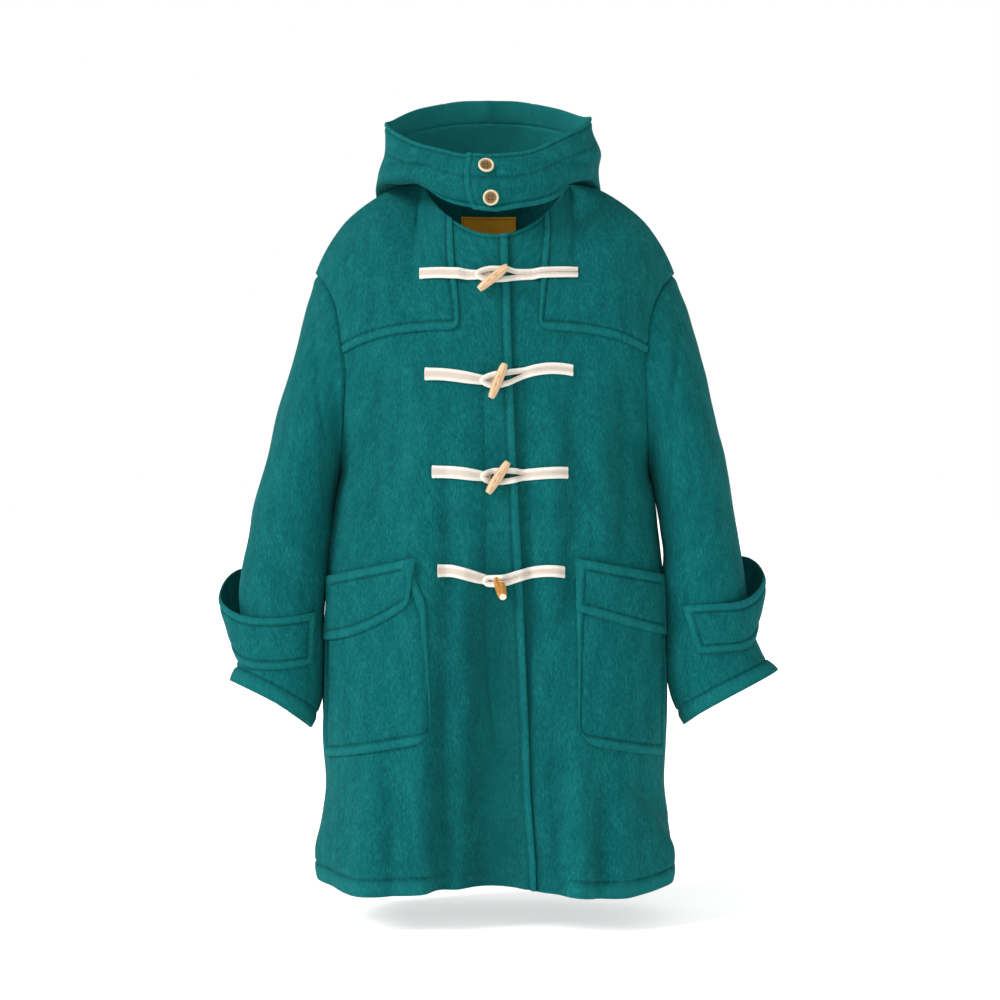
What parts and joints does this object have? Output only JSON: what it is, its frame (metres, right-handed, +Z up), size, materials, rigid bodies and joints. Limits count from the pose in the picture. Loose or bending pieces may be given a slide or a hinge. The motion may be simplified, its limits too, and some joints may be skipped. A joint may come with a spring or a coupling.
{
  "type": "duffle coat",
  "caption": "Hooded wool duffle coat, filled out and hollow, with toggle fastenings, shoulder yokes, patch pockets with flaps and cuff straps.",
  "frame": {"origin": "centre of the neck opening, where the wearer's neck and shoulders hold the coat up", "axes": "+Z up the coat towards the hood, -Y out of the front, +X towards the viewer's right when the front is faced"},
  "size_m": [0.72, 0.3411, 1.0287],
  "materials": {
    "wool_cloth": "brushed wool with a vertical nap, matt",
    "cotton_tape": "woven cotton tape, matt",
    "toggle_wood": "turned pale wood, satin varnish",
    "horn_button": "mottled horn-like resin, satin",
    "neck_label": "woven satin label, blank"
  },
  "bodies": {
    "root": {"front_left": "wool_cloth", "front_right": "wool_cloth", "back": "wool_cloth", "yoke_front_left": "wool_cloth", "yoke_front_right": "wool_cloth", "yoke_back": "wool_cloth", "sleeve_upper_left": "wool_cloth", "sleeve_under_left": "wool_cloth", "sleeve_upper_right": "wool_cloth", "sleeve_under_right": "wool_cloth", "cuff_strap_left": "wool_cloth", "cuff_strap_right": "wool_cloth", "hood_left": "wool_cloth", "hood_right": "wool_cloth", "hood_centre": "wool_cloth", "pocket_left": "wool_cloth", "pocket_flap_left": "wool_cloth", "pocket_right": "wool_cloth", "pocket_flap_right": "wool_cloth", "toggle_tape_1": "cotton_tape", "loop_tape_1": "cotton_tape", "toggle_1": "toggle_wood", "toggle_tape_2": "cotton_tape", "loop_tape_2": "cotton_tape", "toggle_2": "toggle_wood", "toggle_tape_3": "cotton_tape", "loop_tape_3": "cotton_tape", "toggle_3": "toggle_wood", "toggle_tape_4": "cotton_tape", "loop_tape_4": "cotton_tape", "toggle_4": "toggle_wood", "hood_button_1": "horn_button", "hood_button_2": "horn_button", "neck_label": "neck_label"}
  },
  "joints": []
}
